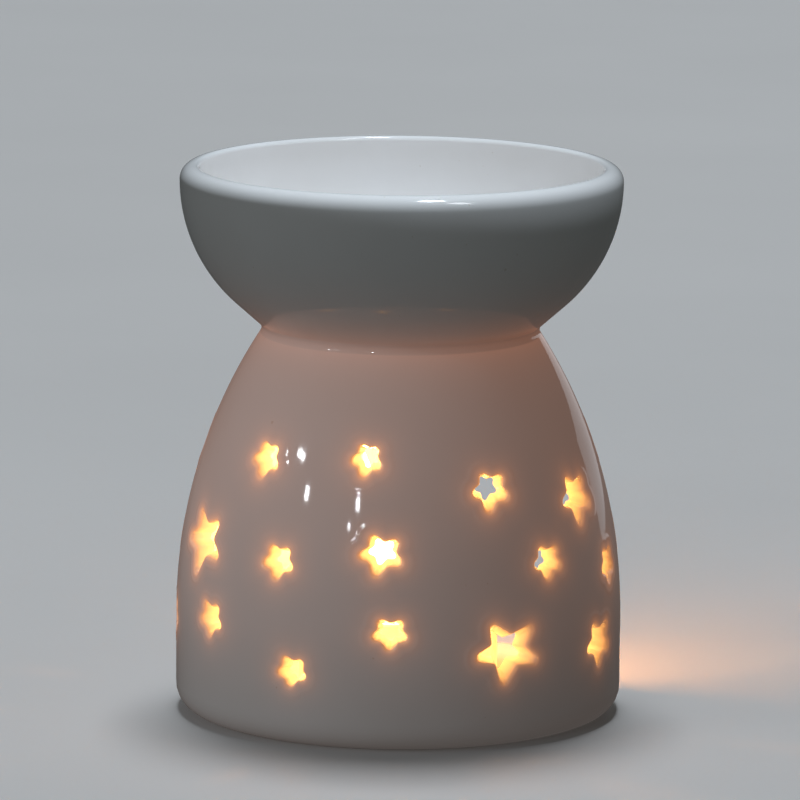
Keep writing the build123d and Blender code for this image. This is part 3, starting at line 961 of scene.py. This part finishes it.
def wax_material():
    """Paraffin: dull white where solid, wet and clear-looking in the melted pool."""
    look = Look("paraffin")
    parts = look.axes()
    flat = look.node("CombineXYZ")
    look.join(parts["X"], flat.inputs["X"])
    look.join(parts["Y"], flat.inputs["Y"])
    reach = look.vector("LENGTH", flat.outputs[0])
    wobbly = look.math("MULTIPLY_ADD", look.noise(180, 2), 0.0016, reach)
    share = look.share(wobbly, (POOL_RADIUS - 0.9) * MM, (POOL_RADIUS + 0.9) * MM)
    look.wear("Base Color", look.ramp(share, [(0.0, (0.80, 0.74, 0.60)), (1.0, (0.90, 0.88, 0.83))]))
    look.wear("Roughness", look.ramp(share, [(0.0, 0.03), (1.0, 0.5)]))
    look.bump(look.noise(900, 4), 0.00004, 0.3)
    settle(look.shader, Subsurface_Weight=0.9, Subsurface_Radius=(1.0, 0.55, 0.28),
           Subsurface_Scale=0.004, IOR=1.44)
    return look.material


def wick_material():
    """Cotton below, char above, an ember at the very tip."""
    look = Look("wick_cotton")
    share = look.share(look.axes()["Z"], POOL_LEVEL * MM, WICK_TIP * MM)
    tones = [(0.0, (0.62, 0.52, 0.36)), (0.18, (0.25, 0.17, 0.1)), (0.4, (0.015, 0.012, 0.01))]
    look.wear("Base Color", look.ramp(share, tones))
    look.wear("Emission Color", look.ramp(share, [(0.88, 0), (1.0, (1.0, 0.22, 0.03))]))
    look.bump(look.noise(3200, 3, 0.7), 0.0001, 0.6)
    settle(look.shader, Emission_Strength=3.0, Roughness=0.95)
    return look.material


def steel_material():
    """Tinned steel: satin, with a fine rolled grain."""
    look = Look("tab_tin")
    look.mottle("Base Color", [(0.3, (0.50, 0.50, 0.51)), (0.7, (0.66, 0.66, 0.67))], 600, 4)
    look.mottle("Roughness", [(0.3, 0.25), (0.7, 0.45)], 1500, 4)
    settle(look.shader, Metallic=1.0)
    return look.material


def fire_material():
    """A candle flame: clear and bluish at its root, bright yellow above, soft at its edges."""
    look = Look("fire")
    look.tree.nodes.remove(look.shader)
    height = look.axes("Generated")["Z"]
    tones = [(0.0, (0.30, 0.35, 0.8)), (0.14, (1.0, 0.42, 0.1)), (0.4, (1.0, 0.72, 0.32)),
             (1.0, (1.0, 0.5, 0.14))]
    power = look.ramp(height, [(0.0, 0.004), (0.08, 0.04), (0.2, 0.3), (0.45, 1), (1.0, 0.5)])
    power = look.math("MULTIPLY", power, FLAME_BRIGHTNESS)
    edge = look.node("LayerWeight", Blend=0.35).outputs["Facing"]
    power = look.math("MULTIPLY", power, look.math("SUBTRACT", 1.0, edge))
    glow = look.node("Emission")
    look.join(look.ramp(height, tones), glow.inputs["Color"])
    look.join(power, glow.inputs["Strength"])
    both = look.node("AddShader")
    look.join(glow.outputs[0], both.inputs[0])
    look.join(look.node("BsdfTransparent").outputs[0], both.inputs[1])
    look.join(both.outputs[0], look.tree.nodes["Material Output"].inputs["Surface"])
    return look.material


def floor_material():
    look = Look("pale_floor")
    look.mottle("Base Color", [(0.3, 0.72), (0.7, 0.76)], 5, 4)
    look.bump(look.noise(500, 3), 0.0001, 0.2)
    settle(look.shader, Roughness=0.55)
    return look.material


# ---- The object ----
scene = bpy.context.scene


def place(name, data, location, target=None, roll=0.0):
    """Adds a lamp or camera, looking at target if one is given."""
    thing = bpy.data.objects.new(name, data)
    scene.collection.objects.link(thing)
    thing.location = location
    if target is not None:
        turn = (Vector(location) - Vector(target)).to_track_quat("Z", "Y")
        thing.rotation_mode = "QUATERNION"
        thing.rotation_quaternion = turn @ Quaternion((0, 0, 1), roll)
    return thing


def stand_for(thing, body, node):
    """Makes a piece the look of a CAD node, moving with that node's body."""
    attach(thing, body)
    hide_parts(node)
    return thing


candle_data = bpy.data.lights.new("candle_light", "POINT")
candle_data.energy = CANDLE_POWER
candle_data.color = CANDLE_COLOUR
candle_data.shadow_soft_size = FLAME_RADIUS * MM
candle_light = place("candle_light", candle_data, Vector(flame_path(FLAME_HEART)) * MM)
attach(candle_light, "candle")

body_glaze_painted_glow = glaze_material("body_glaze_painted_glow", candle_light, pierced=True)
dish_glaze_painted_glow = glaze_material("dish_glaze_painted_glow", candle_light, pierced=False)
dish_outline, heel_hub = dish_profile()
seam_outline = seam_profile(heel_hub)

stand_for(build_body(body_glaze_painted_glow, bare_material()), "holder", "lantern_body")
dish = stand_for(lathe("dish", dish_outline, dish_glaze_painted_glow), "holder", "oil_dish")
seam = lathe("luting_seam", seam_outline, dish_glaze_painted_glow, steps=AROUND)
stand_for(seam, "holder", "slip_seam")
stand_for(build_cup(foil_material()), "cup", "tealight_cup")
stand_for(build_wax(wax_material()), "candle", "wax")
stand_for(build_wick(wick_material()), "candle", "wick")
for material_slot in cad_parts["wick_tab"].material_slots:
    material_slot.material = steel_material()

flame = build_flame(fire_material())
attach(flame, "candle")

# ---- Camera ----
CAMERA_AZIMUTH = radians(30)
CAMERA_ELEVATION = radians(10.27)
CAMERA_DISTANCE = 1.5
CAMERA_LENS = 353.7
CAMERA_ROLL = radians(0.47)
AIM_ABOVE_MIDDLE = 0.0072
middle = Vector((0, 0, DISH_TOP / 2 * MM))


def toward(azimuth, elevation):
    """The direction from the object's middle to something seen at these angles from the front."""
    level = cos(elevation)
    return Vector((sin(azimuth) * level, -cos(azimuth) * level, sin(elevation)))


camera_data = bpy.data.cameras.new("camera")
camera_data.lens = CAMERA_LENS
camera_data.clip_start = 0.05
camera_spot = middle + toward(CAMERA_AZIMUTH, CAMERA_ELEVATION) * CAMERA_DISTANCE
camera_aim = middle + Vector((0, 0, AIM_ABOVE_MIDDLE))
scene.camera = place("camera", camera_data, camera_spot, camera_aim, CAMERA_ROLL)

# ---- Light and floor ----
DAYLIGHT = (0.90, 0.95, 1.0)
SKYLIGHT = (0.80, 0.89, 1.0)
PANE_POWER = 180  # watts for each square metre


def keep_light(light, thing, state):
    """Lets a light fall only on one object ("INCLUDE"), or on all but it ("EXCLUDE")."""
    group = bpy.data.collections.new(f"{light.name}_group")
    group.objects.link(thing)
    group.collection_objects[0].light_linking.link_state = state
    light.light_linking.receiver_collection = group


def soft_box(name, azimuth, elevation, distance, width, height, power, colour=DAYLIGHT, target=middle,
             dish_state=None, glossy=True, diffuse=True):
    """A rectangular soft light, placed as seen from its target. dish_state is as keep_light's."""
    data = bpy.data.lights.new(name, "AREA")
    data.shape, data.size, data.size_y = "RECTANGLE", width, height
    data.energy, data.color = power, colour
    spot = toward(radians(azimuth), radians(elevation)) * distance
    lamp = place(name, data, spot + target, target)
    lamp.visible_camera, lamp.visible_glossy, lamp.visible_diffuse = False, glossy, diffuse
    if dish_state:
        keep_light(lamp, dish, dish_state)


soft_box("overhead", -153, 80, 3.0, 0.8, 0.8, 48.0, dish_state="EXCLUDE")
soft_box("over_dish", 84, 80, 3.0, 0.35, 0.2, 71.0, SKYLIGHT, dish_state="INCLUDE")
soft_box("left_fill", -50, 18, 2.0, 1.0, 1.0, 1.6, glossy=False)
soft_box("front_fill", -10, 2, 2.0, 1.2, 0.5, 1.6, glossy=False)
# a small lamp over the dish's near side that lifts its far inner wall
far_inside = Vector(around(38.0, CAMERA_AZIMUTH + pi, 95.0)) * MM
soft_box("in_dish", 30, 42, 0.085, 0.04, 0.04, 0.013, SKYLIGHT, far_inside, "INCLUDE", glossy=False)
soft_box("dish_fill", 20, 20, 2.0, 1.2, 0.5, 1.3, dish_state="INCLUDE", glossy=False)
# a pale wall behind on the right, which shows as a sheen along the right-hand side
soft_box("far_wall", 184, 0, 3.0, 1.9, 0.55, 1.6, dish_state="EXCLUDE")
soft_box("rear_fill", 205, 8, 2.0, 1.2, 0.8, 3.2, glossy=False)
# a high window, seen only as small bright patches on the dish's lip
soft_box("rim_window", 72, 55, 3.0, 0.35, 0.8, 9.0, dish_state="INCLUDE", diffuse=False)
# far window panes, seen as short highlights on the glaze: azimuth, elevation, width, height
panes = [(-34.4, 24.9, 0.24, 0.07), (-25.2, 18.9, 0.10, 0.14),
         (6.5, 20.3, 0.08, 0.13), (2.3, 15.4, 0.06, 0.06)]
for number, (azimuth, elevation, width, height) in enumerate(panes):
    soft_box(f"pane_{number}", azimuth, elevation, 3.0, width, height, PANE_POWER * width * height,
             dish_state="EXCLUDE")

scene.world = bpy.data.worlds.new("world")
scene.world.use_nodes = True
settle(scene.world.node_tree.nodes["Background"], Color=(0.92, 1.0, 1.0, 1), Strength=0.062)
scene.view_settings.view_transform = "Standard"

bpy.ops.mesh.primitive_plane_add(size=8)
floor = bpy.context.object
floor.name = "floor"
floor.data.materials.append(floor_material())
# the pale floor shows, but neither floods the object from below nor mirrors in its glaze
floor.visible_diffuse = floor.visible_glossy = False
keep_light(candle_light, floor, "EXCLUDE")
# the candle's light on the floor has a weaker lamp of its own
spill_data = candle_data.copy()
spill_data.name = "candle_spill"
spill_data.energy = SPILL_POWER
candle_spill = place("candle_spill", spill_data, candle_light.location)
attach(candle_spill, "candle")
keep_light(candle_spill, floor, "INCLUDE")
